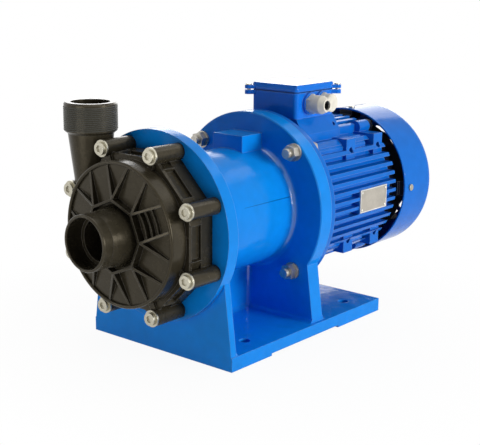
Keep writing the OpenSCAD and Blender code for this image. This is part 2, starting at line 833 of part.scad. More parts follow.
module flange_nuts()
    color("#9c998c") difference() {
        rods(4, 45, motor_bolt_circle / 2, motor_bolt_d * 0.9, nut_front, nut_front + motor_nut_h, 6);
        rods(4, 45, motor_bolt_circle / 2, motor_bolt_d / 2, nut_front - over,
            nut_front + motor_nut_h + over);
    }

// Motor
module motor_flange()
    color("#1a66c4") difference() {
        union() {
            disc(flange_d / 2, flange_back, shield_back);
            disc(spigot_d / 2, flange_back - spigot_depth, flange_back);
            ring(stator_d / 2, stator_d / 2 - register_wall, shield_back - over, shield_back + register_t);
            disc(bearing_boss_r, shield_back - over, front_bearing_y + bearing_w);
        }
        disc(bearing_d / 2, front_bearing_y, front_bearing_y + bearing_w + over);
        disc(bearing_bore / 2 + 1, flange_back - spigot_depth - over, front_bearing_y + over);
        disc(bearing_bore / 2 + seal_wall, seal_y, seal_y + seal_t);
        disc(shield_dish_r, flange_back - spigot_depth - over, seal_y - seal_lip);
        rods(4, 45, motor_bolt_circle / 2, motor_bolt_d / 2 + loose, flange_back - over, shield_back + over);
        shield_rods(shield_screw_r, flange_back - over, shield_back + over);
        shield_rods(shield_head_r, flange_back - over, shield_head_seat);
    }

// Ears and screws that hold the end shields to the frame
module shield_rods(radius, from, to, sides = 0)
    for (side = [0, 180], angle = [-shield_screw_angle, shield_screw_angle])
        rods(1, side + angle, shield_screw_circle_r, radius, from, to, sides);

// Barrel with level fins on both sides and upright fins above and below
module frame_fins()
    intersection() {
        disc(fin_d / 2, shield_back + fin_inset, frame_back - fin_inset);
        union() {
            for (i = [-level_fins : level_fins])
                block(fin_d, shield_back + fin_inset, frame_back - fin_inset, i * fin_pitch - fin_t / 2,
                    i * fin_pitch + fin_t / 2);
            for (i = [-upright_fins : upright_fins])
                translate([i * fin_pitch, 0, 0])
                    block(fin_t, shield_back + fin_inset, frame_back - fin_inset, -fin_d / 2, fin_d / 2);
        }
    }

// Places its children on the frame's shoulders with local Z towards the motor
module at_mount_pads()
    for (side = [-1, 1], level = [-1, 1], station = [0, mount_pad_pitch])
        translate([side * mount_pad_reach, front_y + shield_back + mount_pad_first + station,
            axis_height + level * mount_pad_rise])
            rotate([0, -side * 90, 0]) children();

module mount_pads()
    at_mount_pads() translate([-mount_pad_height / 2, -mount_pad_width / 2, 0])
        cube([mount_pad_height, mount_pad_width, mount_pad_reach / 2]);

// Extrudes an outline of x and height above the axis between two stations
module along_frame(from, to)
    translate([0, front_y + to, axis_height]) rotate([90, 0, 0]) linear_extrude(to - from) children();

// Smooth shoulders that the foot pads stand on
module frame_rails()
    along_frame(shield_back + rail_first, frame_back - rail_end)
        for (side = [-1, 1], level = [-1, 1])
            polygon([for (p = [[rail_reach / 2, rail_low], [rail_reach, rail_low], [rail_reach, rail_reach],
                [rail_reach - rail_slope, rail_top], [rail_reach / 2, rail_top]])
                [side * p[0], level * p[1]]]);

// Saddle under the terminal box, and the nameplate's pad
module frame_seats() {
    half = box_width / 2 - saddle_inset;
    along_frame(box_y - box_length / 2 + saddle_inset, box_y + box_length / 2 - saddle_inset)
        polygon([[-half, box_seat_rise], [half, box_seat_rise], [half + saddle_flare, saddle_low],
            [half + saddle_flare, stator_d / 2 - over], [-half - saddle_flare, stator_d / 2 - over],
            [-half - saddle_flare, saddle_low]]);
    translate([stator_d / 2, front_y + plate_y - plate_length / 2 - over, plate_low - over])
        cube([fin_d / 2 - stator_d / 2, plate_length + 2 * over, plate_height + 2 * over]);
}

module motor_frame()
    color("#1a66c4") difference() {
        union() {
            disc(barrel_d / 2, shield_back, frame_back);
            frame_fins();
            shield_rods(shield_boss_r, shield_back + boss_recess, shield_back + shield_boss_length);
            shield_rods(shield_boss_r, frame_back - shield_boss_length, frame_back - boss_recess);
            mount_pads();
            frame_rails();
            frame_seats();
        }
        disc(stator_d / 2, shield_back - over, frame_back + over);
        shield_rods(shield_screw_r, shield_back - over, shield_back + shield_screw_bite);
        shield_rods(shield_screw_r, frame_back - shield_screw_bite, frame_back + over);
        translate([0, front_y + box_y, axis_height]) cylinder(d = lead_hole_d, h = box_seat_rise + over);
        at_mount_pads() translate([0, 0, mount_pad_depth - fin_d / 2])
            cylinder(d = mount_pad_hole_d, h = fin_d / 2);
        translate([box_width / 2, front_y + shield_back + earth_hole_station, axis_height + earth_hole_rise])
            rotate([0, 90, 0]) cylinder(r = earth_hole_r, h = box_width / 2);
    }

module stator_core()
    color("#8d9096") ring(stator_d / 2, stator_bore_r, stack_front, stack_back);

module end_turn(from, to)
    on_axis((from + to) / 2) rotate_extrude()
        translate([(end_turn_outer_r + end_turn_inner_r) / 2, 0])
            rounded(end_turn_outer_r - end_turn_inner_r, to - from, end_turn_round);

module stator_windings()
    color("#b5622c") union() {
        end_turn(stack_front - end_turn_front, stack_front);
        end_turn(stack_back, stack_back + end_turn_back);
    }

module rotor_core()
    color("#7d8086") ring(rotor_d / 2, core_shaft_d / 2, stack_front, stack_back);

module rotor_cage()
    color("#c2c4c6") union() {
        ring(rotor_d / 2 - 2, rotor_d / 2 - cage_ring_h, stack_front - cage_ring_t, stack_front);
        ring(rotor_d / 2 - 2, rotor_d / 2 - cage_ring_h, stack_back, stack_back + cage_ring_t);
    }

module motor_shaft()
    color("#a9abae") difference() {
        turned([[0, shaft_end], [shaft_end_d / 2, shaft_end], [shaft_end_d / 2, flange_back],
            [bearing_bore / 2, flange_back], [bearing_bore / 2, front_bearing_y + bearing_w],
            [core_shaft_d / 2, front_bearing_y + bearing_w], [core_shaft_d / 2, rear_bearing_y],
            [bearing_bore / 2, rear_bearing_y], [bearing_bore / 2, rear_bearing_y + bearing_w],
            [fan_shaft_d / 2, rear_bearing_y + bearing_w], [fan_shaft_d / 2, fan_shaft_end],
            [0, fan_shaft_end]]);
        key_block();
        disc(clamp_screw_r, shaft_end - over, shaft_end + clamp_screw_bite);
    }

// Outer race with its two shields
module bearing_outer(from)
    color("#b9bcc0") union() {
        ring(bearing_d / 2, bearing_d / 2 - race_t, from, from + bearing_w);
        for (start = [from, from + bearing_w - race_shield_t])
            ring(bearing_d / 2 - race_t / 2, bearing_bore / 2 + race_t + race_gap,
                start, start + race_shield_t);
    }

module bearing_inner(from)
    color("#c6c9cc") ring(bearing_bore / 2 + race_t, bearing_bore / 2, from, from + bearing_w);

module front_bearing_outer() bearing_outer(front_bearing_y);

module front_bearing_inner() bearing_inner(front_bearing_y);

module rear_bearing_outer() bearing_outer(rear_bearing_y);

module rear_bearing_inner() bearing_inner(rear_bearing_y);

module bearing_spring()
    color("#8a8c8f") ring(bearing_d / 2, bearing_d / 2 - race_t, rear_bearing_y + bearing_w,
        rear_bearing_y + bearing_w + spring_t);

module shaft_seal()
    color("#202020") ring(bearing_bore / 2 + seal_wall, bearing_bore / 2 + slip, seal_y, seal_y + seal_t);

// Lugs of the rear shield that carry the fan cowl
module cowl_lugs()
    on_axis(cowl_front) around(4, -lug_angle / 2) {
        rotate_extrude(angle = lug_angle) translate([lug_inner_r, 0])
            square([cowl_d / 2 - cowl_t - lug_inner_r, lug_back - cowl_front]);
        translate([0, 0, -lug_root]) rotate_extrude(angle = lug_angle) translate([barrel_d / 2 - lug_root, 0])
            square([lug_inner_r + lug_root - barrel_d / 2 + lug_root, lug_root + lug_overlap]);
    }

module rear_shield()
    color("#1a66c4") difference() {
        union() {
            disc(barrel_d / 2, frame_back, rear_shield_back);
            ring(stator_d / 2, stator_d / 2 - register_wall, frame_back - register_t, frame_back + over);
            disc(bearing_boss_r, rear_bearing_y, frame_back + over);
            shield_rods(shield_boss_r, frame_back, rear_ear_back);
            cowl_lugs();
        }
        disc(bearing_d / 2, rear_bearing_y - over, rear_bearing_y + bearing_w + spring_t);
        disc(fan_shaft_d / 2 + 1, rear_bearing_y, rear_shield_back + over);
        shield_rods(shield_screw_r, frame_back - over, rear_shield_back + over);
        on_axis(cowl_screw_y) around(4) rotate([0, 90, 0])
            cylinder(r = cowl_screw_r, h = cowl_d);
    }

// Screws of the front shield, sunk in its face, and of the rear shield
module shield_screws()
    color("#9c998c") union() {
        shield_rods(shield_head_r, shield_head_seat - shield_head_h, shield_head_seat);
        shield_rods(shield_screw_r, shield_head_seat, shield_back + shield_screw_bite);
        shield_rods(shield_head_r, rear_ear_back, rear_ear_back + shield_head_h, 6);
        shield_rods(shield_screw_r, frame_back - shield_screw_bite, rear_ear_back);
    }

module fan()
    color("#2a2c30") union() {
        ring(fan_hub_r, fan_shaft_d / 2, fan_front, fan_front + fan_length);
        ring(fan_d / 2 - fan_blade_over, fan_hub_r - over, fan_front, fan_front + fan_disc_t);
        on_axis(fan_front) around(fan_blades) translate([fan_hub_r - 2 * over, -fan_blade_t / 2, 0])
            cube([fan_d / 2 - fan_hub_r + 2 * over, fan_blade_t, fan_length]);
    }

module fan_clip()
    color("#6d6f72") ring(fan_shaft_d / 2 + fan_clip_h, fan_shaft_d / 2, fan_front + fan_length,
        fan_front + fan_length + fan_clip_t);

// Half section of the cowl, inset from its outer skin
module cowl_section(inset) {
    square([cowl_d / 2 - cowl_round, cowl_length - inset]);
    square([cowl_d / 2 - inset, cowl_length - cowl_round]);
    translate([cowl_d / 2 - cowl_round, cowl_length - cowl_round]) circle(r = cowl_round - inset);
}

// Rows of curved slots in the rear of the cowl
module cowl_grille()
    for (row = [0 : grille_rows - 1]) {
        radius = grille_inner_r + row * grille_pitch;
        bridge = asin(grille_bridge / radius);
        on_axis(cowl_back - cowl_t - over) around(grille_sectors, bridge / 2)
            rotate_extrude(angle = 360 / grille_sectors - bridge)
                translate([radius, 0]) square([grille_pitch - grille_bar, cowl_t + 2 * over]);
    }

module fan_cowl()
    color("#1c63c0") difference() {
        on_axis(cowl_front) rotate_extrude() difference() {
            cowl_section(0);
            translate([0, -over]) square([cowl_d / 2 - cowl_t, over]);
            cowl_section(cowl_t);
        }
        cowl_grille();
        on_axis(cowl_screw_y) around(4) rotate([0, 90, 0])
            cylinder(r = cowl_screw_r + loose, h = cowl_d);
    }

module cowl_screws()
    color("#c8c6bd") on_axis(cowl_screw_y) around(4) rotate([0, 90, 0]) {
        translate([0, 0, cowl_d / 2 - cowl_t - cowl_screw_bite])
            cylinder(r = cowl_screw_r, h = cowl_t + cowl_screw_bite);
        translate([0, 0, cowl_d / 2]) cylinder(r = cowl_screw_r * 1.9, h = cowl_head_h);
    }

// Terminal box
module at_box(rise)
    translate([0, front_y + box_y, axis_height + rise]) children();

// Ears at two opposite corners that take the lid's screws
module lid_screw_places()
    for (side = [-1, 1])
        translate([side * (box_width / 2 + ear_out), side * (box_length / 2 + ear_out), 0]) children();

module lid_ears()
    for (side = [-1, 1]) {
        ear = [box_width / 2 + ear_out, box_length / 2 + ear_out];
        translate(side * ear) circle(r = ear_r);
        translate(side * (ear - [ear_link, ear_link])) rotate(45)
            square([3 * ear_link, 2 * ear_r - over], center = true);
    }

// Trapezium that gives the lid its sloped sides
module lid_slope(width) {
    lean = lid_taper / (lid_t - lid_edge);
    low = width / 2 + lid_over + lean * (lid_edge + over);
    high = width / 2 + lid_over - lid_taper - lean * over;
    polygon([[-low, -over], [low, -over], [high, lid_t + over], [-high, lid_t + over]]);
}

module at_gland(side, x)
    translate([x, front_y + box_y + gland_shift + side * gland_spacing / 2, axis_height + gland_rise])
        rotate([0, 90, 0]) children();

module at_glands(x)
    for (side = [-1, 1]) at_gland(side, x) children();

module terminal_box()
    color("#1a66c4") difference() {
        union() {
            at_box(box_seat_rise) linear_extrude(box_height) rounded(box_width, box_length, box_round);
            at_box(box_seat_rise + box_height - ear_depth) linear_extrude(ear_depth) lid_ears();
            at_glands(gland_x - gland_boss_t - over) cylinder(r = gland_boss_r, h = gland_boss_t + over);
        }
        at_box(box_seat_rise + box_wall) linear_extrude(box_height)
            rounded(box_width - 2 * box_wall, box_length - 2 * box_wall, box_round - box_wall / 2);
        at_box(box_seat_rise - over) cylinder(d = lead_hole_d, h = box_wall + 2 * over);
        at_glands(gland_x - gland_boss_t - box_wall - over)
            cylinder(d = gland_thread_d, h = box_wall + gland_boss_t + 2 * over);
        at_box(lid_bottom - gasket_t - lid_screw_bite) lid_screw_places()
            cylinder(r = lid_screw_r, h = lid_screw_bite + over);
    }

module box_gasket()
    color("#262626") at_box(lid_bottom - gasket_t) linear_extrude(gasket_t) difference() {
        rounded(box_width, box_length, box_round);
        rounded(box_width - 2 * box_wall, box_length - 2 * box_wall, box_round - box_wall / 2);
    }

module box_lid()
    color("#1c6ad0") difference() {
        union() {
            at_box(lid_bottom) intersection() {
                linear_extrude(lid_t) rounded(box_width + 2 * lid_over, box_length + 2 * lid_over, box_round);
                rotate([90, 0, 0]) translate([0, 0, -box_length]) linear_extrude(2 * box_length)
                    lid_slope(box_width);
                rotate([90, 0, 90]) translate([0, 0, -box_width]) linear_extrude(2 * box_width)
                    lid_slope(box_length);
            }
            at_box(lid_bottom) linear_extrude(lid_ear_t) lid_ears();
        }
        at_box(lid_bottom - over) lid_screw_places() cylinder(r = lid_screw_r, h = lid_t + 2 * over);
    }

module lid_screws()
    color("#b9b6aa") at_box(lid_bottom + lid_ear_t) lid_screw_places() {
        cylinder(r = lid_screw_r * 1.7, h = lid_head_h);
        translate([0, 0, -lid_screw_length]) cylinder(r = lid_screw_r, h = lid_screw_length);
    }

module terminal_block()
    color("#4b3a2c") at_box(box_seat_rise + box_wall) difference() {
        translate([-block_width / 2, -block_length / 2, 0]) cube([block_width, block_length, block_t]);
        translate([0, 0, -over]) cylinder(d = block_hole_d, h = block_t + 2 * over);
    }

module terminal_studs()
    color("#c9a24a") at_box(box_seat_rise + box_wall + block_t)
        for (column = [-1 : 1], side = [-1, 1])
            translate([column * stud_pitch, side * (block_length / 2 - stud_edge), 0]) {
                cylinder(d = stud_d, h = stud_height);
                cylinder(d = stud_d * 2, h = stud_nut_h, $fn = 6);
            }

module gland_bodies()
    color("#d9d4c3") at_glands(gland_x) difference() {
        union() {
            translate([0, 0, -box_wall - gland_boss_t])
                cylinder(d = gland_thread_d, h = box_wall + gland_boss_t + over);
            cylinder(d = gland_d * 1.1, h = gland_hex, $fn = 6);
            cylinder(d = gland_core_d, h = gland_body_length);
        }
        translate([0, 0, -box_wall - gland_boss_t - over])
            cylinder(d = gland_seal_d, h = gland_body_length + box_wall + gland_boss_t + 2 * over);
    }

// Hollow nut with a conical end
module gland_nut(length, end, end_d)
    difference() {
        union() {
            cylinder(d = gland_d, h = length - end);
            translate([0, 0, length - end]) cylinder(d1 = gland_d, d2 = end_d, h = end);
        }
        translate([0, 0, -over]) cylinder(d = gland_core_d, h = gland_body_length - gland_hex + over);
    }

// Open nut on the front gland, closed cap on the rear one
module gland_nuts()
    color("#e4dfd0") {
        at_gland(-1, gland_x + gland_hex) difference() {
            gland_nut(gland_nut_length, gland_dome, gland_d * 0.72);
            translate([0, 0, -over]) cylinder(d = gland_seal_d, h = gland_nut_length + 2 * over);
        }
        at_gland(1, gland_x + gland_hex)
            gland_nut(gland_cap_length, gland_cap_edge, gland_d - 2 * gland_cap_edge);
    }

module gland_seals()
    color("#3c3a36") at_gland(-1, gland_x) difference() {
        cylinder(d = gland_seal_d, h = gland_hex + gland_nut_length - gland_seal_sunk);
        translate([0, 0, -over]) cylinder(d = gland_bore_d, h = gland_hex + gland_nut_length + over);
    }

module nameplate()
    color("#c8beaf")
        translate([fin_d / 2, front_y + plate_y - plate_length / 2, plate_low])
            cube([plate_t, plate_length, plate_height]);

module nameplate_rivets()
    color("#a8a49a") for (y = [-1, 1], z = [-1, 1])
        translate([fin_d / 2 + plate_t, front_y + plate_y + y * (plate_length / 2 - rivet_edge),
            axis_height - plate_drop + z * (plate_height / 2 - rivet_edge)])
            rotate([0, 90, 0]) cylinder(r = rivet_r, h = rivet_h);

front_casing();
rear_casing();
casing_seal();
shaft_support();
pump_shaft();
front_thrust_ring();
rear_thrust_ring();
impeller();
inner_magnet();
guide_bush();
mouth_ring();
casing_bolts();
casing_washers();
bracket();
drive_hub();
drive_magnets();
hub_clamp_screw();
hub_key();
hub_set_screw();
flange_bolts();
flange_washers();
flange_nuts();
motor_flange();
motor_frame();
stator_core();
stator_windings();
rotor_core();
rotor_cage();
motor_shaft();
front_bearing_outer();
front_bearing_inner();
rear_bearing_outer();
rear_bearing_inner();
bearing_spring();
shaft_seal();
rear_shield();
shield_screws();
fan();
fan_clip();
fan_cowl();
cowl_screws();
terminal_box();
box_gasket();
box_lid();
lid_screws();
terminal_block();
terminal_studs();
gland_bodies();
gland_nuts();
gland_seals();
nameplate();
nameplate_rivets();
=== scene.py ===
"""Looks of a magnetic drive pump: finishes, threads, cast details and a plain studio stage."""

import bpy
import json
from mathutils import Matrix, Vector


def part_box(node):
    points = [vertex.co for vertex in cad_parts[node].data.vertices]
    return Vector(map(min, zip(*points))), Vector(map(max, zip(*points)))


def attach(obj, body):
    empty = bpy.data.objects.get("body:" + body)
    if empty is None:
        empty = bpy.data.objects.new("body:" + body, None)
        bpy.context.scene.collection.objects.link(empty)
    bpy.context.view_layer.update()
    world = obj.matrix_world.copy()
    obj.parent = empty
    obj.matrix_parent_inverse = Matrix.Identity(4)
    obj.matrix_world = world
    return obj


bl_info = {
    "name": "Magnetic Drive Pump",
    "version": (1, 0, 0),
    "blender": (4, 5, 0),
    "location": "View3D > Sidebar > Pump",
    "description": "Finishes and fine details for a magnetic drive pump with a flange motor",
    "category": "Object",
}

import json
import math

import bmesh
import bpy
from bpy.props import FloatProperty, FloatVectorProperty, PointerProperty
from mathutils import Matrix, Vector

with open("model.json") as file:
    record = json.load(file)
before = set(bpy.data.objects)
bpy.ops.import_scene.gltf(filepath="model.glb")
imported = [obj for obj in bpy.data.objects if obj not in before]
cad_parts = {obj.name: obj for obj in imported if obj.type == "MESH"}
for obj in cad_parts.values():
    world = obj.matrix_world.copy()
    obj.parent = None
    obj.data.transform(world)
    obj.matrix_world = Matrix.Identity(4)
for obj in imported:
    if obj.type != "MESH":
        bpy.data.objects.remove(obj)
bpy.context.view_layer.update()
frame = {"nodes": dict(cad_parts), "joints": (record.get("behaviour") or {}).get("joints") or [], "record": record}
NODES = frame["nodes"]
MOUNTS = {m["name"]: m for m in frame["record"]["mounts"]}
AXIS_HEIGHT = frame["joints"][0]["pos_m"][2]
MM = 0.001

# Linear colours of the pieces that are hidden or small
# Painted shade: the rear shield is painted near black to stand for the shadow in the gap between the fins and the
# fan cowl
PAINTED_SHADE_BLACK = (0.006, 0.008, 0.016)
GROUND_STEEL = (0.6, 0.61, 0.63)
MAGNET_IRON = (0.3, 0.31, 0.33)
SHEET_STEEL = (0.36, 0.37, 0.4)
COPPER = (0.62, 0.27, 0.11)
ALUMINIUM = (0.74, 0.75, 0.76)
BRASS = (0.72, 0.5, 0.2)
PALE_METAL = (0.8, 0.79, 0.76)
RUBBER = (0.02, 0.02, 0.02)
CERAMIC = (0.78, 0.74, 0.65)
CARBON = (0.05, 0.05, 0.055)
FAN_BLACK = (0.02, 0.02, 0.022)
BOARD_BROWN = (0.12, 0.06, 0.03)

# Tints: the colour of a shine, how dark the gasket is beside its paint, and how dark the mould line is beside its
# paint, a painted shadow along the ridge
WHITE_SHINE = (1.0, 1.0, 1.0)
WARM_SHINE = (0.9, 0.78, 0.56)
GASKET_SHADE = 0.3
SEAM_PAINTED_SHADOW = 0.4

# Fineness of the round shapes, and how far their hidden backs lie in the castings
PIPE_THREAD_STEPS = 64
STUD_THREAD_STEPS = 24
FILLET_STEPS = 8
FILLET_RING_STEPS = 128
BEAD_SIDES = 12
BEAD_STEPS = 160
SEAM_SIDES = 10
SHARP_ANGLE = math.radians(40)
FILLET_SUNK = 1 * MM
THREAD_SUNK = 0.1 * MM

# Pale floor: its size, and where and how much its glow lets the shadow show
FLOOR_HALF = 8.0
FLOOR_DROP = 0.5 * MM
FLOOR_COLOUR = (0.86, 0.86, 0.86, 1.0)
SHADOW_NEAR = 0.15
SHADOW_FAR = 0.45
SHADOW_GLOW = 0.94

# Middle and two sides of each lamp, in metres; every lamp shines at the pump's middle
LAMPS = {
    "key": ((1.75, 0.3, 0.5), (0.6, 0.6)),
    "top": ((-0.1, 0.1, 2.0), (1.4, 1.4)),
    "back": ((-1.2, 1.9, 0.95), (2.3, 1.1)),
    "rim": ((0.45, 1.3, 1.45), (0.9, 0.25)),
    "fill": ((-0.05, -1.0, 0.05), (0.5, 0.4)),
    "left": ((-1.2, -1.4, 0.6), (0.25, 0.8)),
}


# Sizes and colours that a user would change
class PumpColours(bpy.types.PropertyGroup):
    """Base colours of the finishes, as linear values"""

    bracket: FloatVectorProperty(
        name="Bracket enamel", description="Blue enamel of the cast bracket",
        subtype="COLOR", size=3, min=0, max=1, default=(0.003, 0.235, 0.75))
    motor: FloatVectorProperty(
        name="Motor enamel", description="Blue enamel of the motor",
        subtype="COLOR", size=3, min=0, max=1, default=(0.0033, 0.142, 0.57))
    box: FloatVectorProperty(
        name="Box enamel", description="Blue enamel of the terminal box",
        subtype="COLOR", size=3, min=0, max=1, default=(0.004, 0.17, 0.72))
    plastic: FloatVectorProperty(
        name="Pump plastic", description="Glass-filled plastic of the pump head",
        subtype="COLOR", size=3, min=0, max=1, default=(0.031, 0.0262, 0.0165))
    bolts: FloatVectorProperty(
        name="Bolts", description="Plated steel of the bolts and washers",
        subtype="COLOR", size=3, min=0, max=1, default=(0.46, 0.435, 0.35))
    studs: FloatVectorProperty(
        name="Flange bolts", description="Dull steel of the flange bolts and nuts",
        subtype="COLOR", size=3, min=0, max=1, default=(0.42, 0.4, 0.36))
    glands: FloatVectorProperty(
        name="Cable glands", description="Off-white plastic of the cable glands",
        subtype="COLOR", size=3, min=0, max=1, default=(0.72, 0.68, 0.58))
    plate: FloatVectorProperty(
        name="Nameplate", description="Bare metal of the nameplate",
        subtype="COLOR", size=3, min=0, max=1, default=(0.44, 0.41, 0.36))


class PumpSizes(bpy.types.PropertyGroup):
    """Sizes of the fine details"""

    thread_pitch: FloatProperty(
        name="Pipe thread pitch", description="Pitch of the discharge thread",
        unit="LENGTH", min=0.5 * MM, max=6 * MM, default=2.31 * MM)
    thread_height: FloatProperty(
        name="Pipe thread height", description="How far the discharge thread stands from its cylinder",
        unit="LENGTH", min=0.1 * MM, max=1.5 * MM, default=0.6 * MM)
    stud_pitch: FloatProperty(
        name="Bolt thread pitch", description="Pitch of the flange bolts",
        unit="LENGTH", min=0.5 * MM, max=3 * MM, default=1.75 * MM)
    stud_height: FloatProperty(
        name="Bolt thread height", description="How far a flange bolt's thread stands from its cylinder",
        unit="LENGTH", min=0.1 * MM, max=1 * MM, default=0.4 * MM)
    stud_circle: FloatProperty(
        name="Flange bolt circle", description="Diameter of the circle of the flange bolts",
        unit="LENGTH", min=0.2, max=0.25, default=0.225)
    stud_diameter: FloatProperty(
        name="Flange bolt diameter", description="Diameter of the flange bolts",
        unit="LENGTH", min=8 * MM, max=14 * MM, default=12 * MM)
    seam_radius: FloatProperty(
        name="Mould line radius", description="Radius of the mould line on the lantern",
        unit="LENGTH", min=0.1 * MM, max=2 * MM, default=0.6 * MM)
    seam_angle: FloatProperty(
        name="Mould line angle", description="Angle of the mould line above the horizontal",
        subtype="ANGLE", default=math.radians(15.3))
    seam_length: FloatProperty(
        name="Mould line length", description="Length of the mould line in front of the rear flange",
        unit="LENGTH", min=0.02, max=0.15, default=0.095)
    lantern: FloatProperty(
        name="Lantern diameter", description="Outside diameter of the lantern",
        unit="LENGTH", min=0.14, max=0.18, default=0.162)
    edge_round: FloatProperty(
        name="Edge rounding", description="Radius to which edges of castings are softened",
        unit="LENGTH", min=0.0, max=4 * MM, default=1.4 * MM)
    fillet_radius: FloatProperty(
        name="Foot fillet radius", description="Radius of the fillets between foot, legs and web",
        unit="LENGTH", min=2 * MM, max=12 * MM, default=6 * MM)
    ring_radius: FloatProperty(
        name="Lantern fillet radius", description="Radius of the fillets at the lantern's ends",
        unit="LENGTH", min=6 * MM, max=12 * MM, default=7 * MM)
    foot_top: FloatProperty(
        name="Foot thickness", description="Height of the foot's upper face",
        unit="LENGTH", min=14 * MM, max=24 * MM, default=18 * MM)
    front_leg_back: FloatProperty(
        name="Front leg's back", description="Place of the front leg's back face",
        unit="LENGTH", default=-158.5 * MM)
    rear_leg_front: FloatProperty(
        name="Rear leg's front", description="Place of the rear leg's front face",
        unit="LENGTH", default=1.5 * MM)
    rear_leg_back: FloatProperty(
        name="Rear leg's back", description="Place of the rear leg's back face",
        unit="LENGTH", default=24.5 * MM)
    front_leg_half: FloatProperty(
        name="Front leg's half width", description="Half the width of the front leg at the foot",
        unit="LENGTH", min=0.1, max=0.13, default=118.6 * MM)
    rear_leg_half: FloatProperty(
        name="Rear leg's half width", description="Half the width of the rear leg at the foot",
        unit="LENGTH", min=0.1, max=0.13, default=114.6 * MM)
    web_half: FloatProperty(
        name="Web's half thickness", description="Half the thickness of the web under the lantern",
        unit="LENGTH", min=4 * MM, max=8 * MM, default=5 * MM)
    bead_radius: FloatProperty(
        name="Cowl bead radius", description="Radius of the rolled bead on the cowl's front edge",
        unit="LENGTH", min=0.5 * MM, max=3 * MM, default=1.3 * MM)
    face_diameter: FloatProperty(
        name="Face diameter", description="Middle diameter of the bead round the ribbed face",
        unit="LENGTH", min=0.17, max=0.18, default=175 * MM)
    face_setback: FloatProperty(
        name="Face setback", description="Distance from the suction mouth to the middle of the face's bead",
        unit="LENGTH", min=0.04, max=0.07, default=55.3 * MM)
    face_bead: FloatProperty(
        name="Face bead radius", description="Radius of the bead round the ribbed face",
        unit="LENGTH", min=0.5 * MM, max=4 * MM, default=2.4 * MM)
    border_width: FloatProperty(
        name="Nameplate border", description="Width of the nameplate's raised border",
        unit="LENGTH", min=0.5 * MM, max=4 * MM, default=1.8 * MM)
    border_height: FloatProperty(
        name="Border height", description="Height of the nameplate's raised border",
        unit="LENGTH", min=0.1 * MM, max=1 * MM, default=0.4 * MM)


class PumpStage(bpy.types.PropertyGroup):
    """Camera and lights"""

    camera_place: FloatVectorProperty(
        name="Camera place", description="Where the camera stands",
        subtype="TRANSLATION", unit="LENGTH", size=3, default=(0.8985, -1.0864, 0.4754))
    azimuth: FloatProperty(
        name="Azimuth", description="Angle of the view to the right of the pump's front",
        subtype="ANGLE", default=math.radians(39.907))
    elevation: FloatProperty(
        name="Elevation", description="Angle of the view above the horizon",
        subtype="ANGLE", default=math.radians(13.501))
    roll: FloatProperty(
        name="Roll", description="Turn of the camera about its own axis",
        subtype="ANGLE", default=math.radians(0.517))
    lens: FloatProperty(
        name="Lens", description="Focal length in millimetres on a 36 mm sensor",
        min=20, max=200, default=79.81)
    key_power: FloatProperty(
        name="Key light", description="Power of the low light on the right",
        unit="POWER", min=0, default=25.0)
    top_power: FloatProperty(
        name="Top light", description="Power of the overhead light",
        unit="POWER", min=0, default=10.0)
    back_power: FloatProperty(
        name="Back panel", description="Power of the panel that shines in the upper faces",
        unit="POWER", min=0, default=22.0)
    rim_power: FloatProperty(
        name="Rim strip", description="Power of the strip that draws streaks along round pieces",
        unit="POWER", min=0, default=1.5)
    fill_power: FloatProperty(
        name="Fill light", description="Power of the light at floor level in front",
        unit="POWER", min=0, default=2.8)
    left_power: FloatProperty(
        name="Left light", description="Power of the weak light on the left",
        unit="POWER", min=0, default=2.2)
    ambient: FloatProperty(
        name="Ambient", description="Strength of the light from all round",
        min=0, max=2, default=0.09)


# Shader node groups that several finishes share
def new_group(name, inputs, outputs):
    """Starts a shader node group with named float, colour or vector sockets."""
    kinds = {"float": "NodeSocketFloat", "colour": "NodeSocketColor", "vector": "NodeSocketVector"}
    group = bpy.data.node_groups.new(name, "ShaderNodeTree")
    for socket, kind in inputs.items():
        group.interface.new_socket(socket, in_out="INPUT", socket_type=kinds[kind])
    for socket, kind in outputs.items():
        group.interface.new_socket(socket, in_out="OUTPUT", socket_type=kinds[kind])
    start = group.nodes.new("NodeGroupInput")
    end = group.nodes.new("NodeGroupOutput")
    return group, start, end


def add(tree, kind, links=None, **values):
    """Adds a node, sets its own properties and input values, and links its inputs."""
    node = tree.nodes.new("ShaderNode" + kind)
    for key, value in values.items():
        if key in node.inputs:
            node.inputs[key].default_value = value
        else:
            setattr(node, key, value)
    for key, source in (links or {}).items():
        tree.links.new(source, node.inputs[key])
    return node


def math_node(tree, operation, first, second):
    """A Math node on two sources, each of which is a socket or a number."""
    node = add(tree, "Math", operation=operation)
    for socket, source in zip(node.inputs, (first, second)):
        if isinstance(source, (int, float)):
            socket.default_value = source
        else:
            tree.links.new(source, socket)
    return node.outputs[0]


def make_mottle_group():
    """Slow and fast noise that makes a colour lighter and darker in patches."""
    group, start, end = new_group(
        "Mottle",
        {"Colour": "colour", "Slow Scale": "float", "Fast Scale": "float", "Amount": "float"},
        {"Colour": "colour", "Mask": "float"})
    place = add(group, "TexCoord").outputs["Object"]
    slow = add(group, "TexNoise", {"Vector": place, "Scale": start.outputs["Slow Scale"]}, Detail=4.0)
    fast = add(group, "TexNoise", {"Vector": place, "Scale": start.outputs["Fast Scale"]}, Detail=2.0)
    both = math_node(group, "ADD", slow.outputs["Fac"], fast.outputs["Fac"])
    mask = math_node(group, "SUBTRACT", both, 1.0)
    change = math_node(group, "MULTIPLY", mask, start.outputs["Amount"])
    shade = add(group, "HueSaturation", {
        "Color": start.outputs["Colour"], "Value": math_node(group, "ADD", change, 1.0)})
    group.links.new(shade.outputs["Color"], end.inputs["Colour"])
    group.links.new(both, end.inputs["Mask"])


